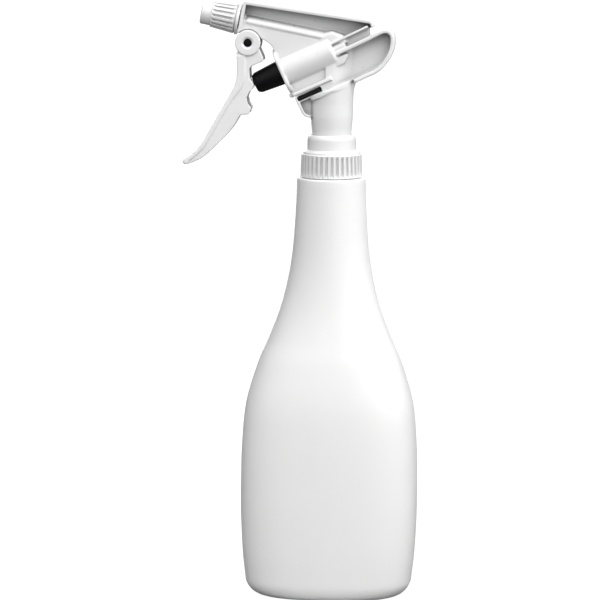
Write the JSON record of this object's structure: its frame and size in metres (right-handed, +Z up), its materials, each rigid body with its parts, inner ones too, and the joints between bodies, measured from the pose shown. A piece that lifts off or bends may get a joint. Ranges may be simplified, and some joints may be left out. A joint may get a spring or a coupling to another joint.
{
  "type": "trigger spray bottle",
  "caption": "Tall white plastic spray bottle with an oval flaring body, a ribbed screw cap and an open-frame trigger pump with a ribbed twist nozzle.",
  "frame": {"origin": "centre of the bottle's flat base, on the surface it stands on", "axes": "+Z up along the bottle's axis; -X is where the nozzle points and the trigger hangs; Y runs across the bottle's thin direction"},
  "size_m": [0.1253, 0.0602, 0.3159],
  "materials": {
    "bottle_plastic": "satin translucent white",
    "cap_plastic": "semi-gloss white",
    "gasket_rubber": "soft off-white",
    "body_plastic": "semi-gloss white",
    "black_rubber": "matt black",
    "inner_plastic": "natural translucent",
    "trigger_plastic": "semi-gloss pale grey",
    "black_plastic": "satin black",
    "steel": "bright stainless",
    "nozzle_plastic": "semi-gloss white"
  },
  "bodies": {
    "bottle": {"bottle": "bottle_plastic"},
    "head": {"sprayer_body": "body_plastic", "vent_seal": "black_rubber", "tube_retainer": "inner_plastic", "dip_tube": "inner_plastic", "tube_filter": "inner_plastic", "neck_gasket": "gasket_rubber", "valve_plug": "body_plastic", "swirl_insert": "inner_plastic", "pivot_pin": "black_plastic", "return_spring": "steel"},
    "cap": {"screw_cap": "cap_plastic"},
    "trigger": {"trigger": "trigger_plastic"},
    "piston": {"piston": "black_plastic", "piston_front_seal": "inner_plastic", "piston_rear_seal": "inner_plastic"},
    "nozzle_seal": {"nozzle_seal": "black_rubber"},
    "nozzle": {"nozzle": "nozzle_plastic"},
    "intake_ball": {"intake_ball": "steel"},
    "discharge_ball": {"discharge_ball": "steel"}
  },
  "joints": [
    {"name": "head_lift", "type": "slide", "parent": "bottle", "child": "head", "axis": [0, 0, 1], "range_m": [0, 0.24]},
    {"name": "cap_turn", "type": "hinge", "parent": "head", "child": "cap", "pos_m": [0, 0, 0.235], "axis": [0, 0, 1], "continuous": true},
    {"name": "trigger_squeeze", "type": "hinge", "parent": "head", "child": "trigger", "pos_m": [-0.0441, 0, 0.2936], "axis": [0, -1, 0], "range_deg": [0, 20], "stiffness_Nm_per_rad": 0.2, "springref_deg": -10.31},
    {"name": "piston_stroke", "type": "slide", "parent": "head", "child": "piston", "axis": [0.91, 0, 0.4147], "range_m": [0, 0.0079], "deforming": ["return_spring"]},
    {"name": "nozzle_advance", "type": "slide", "parent": "head", "child": "nozzle_seal", "axis": [-0.9816, 0, 0.1908], "range_m": [0, 0.0031]},
    {"name": "nozzle_twist", "type": "hinge", "parent": "nozzle_seal", "child": "nozzle", "pos_m": [-0.0476, 0, 0.3053], "axis": [-0.9816, 0, 0.1908], "range_deg": [0, 540]},
    {"name": "intake_ball_lift", "type": "slide", "parent": "head", "child": "intake_ball", "axis": [0, 0, 1], "range_m": [0, 0.0015]},
    {"name": "discharge_ball_lift", "type": "slide", "parent": "head", "child": "discharge_ball", "axis": [0.91, 0, 0.4147], "range_m": [0, 0.0015]}
  ],
  "couplings": [
    {"joint": "piston_stroke", "follows": "trigger_squeeze", "m_per_rad": 0.0225},
    {"joint": "nozzle_advance", "follows": "nozzle_twist", "m_per_rad": 0.0003183}
  ]
}
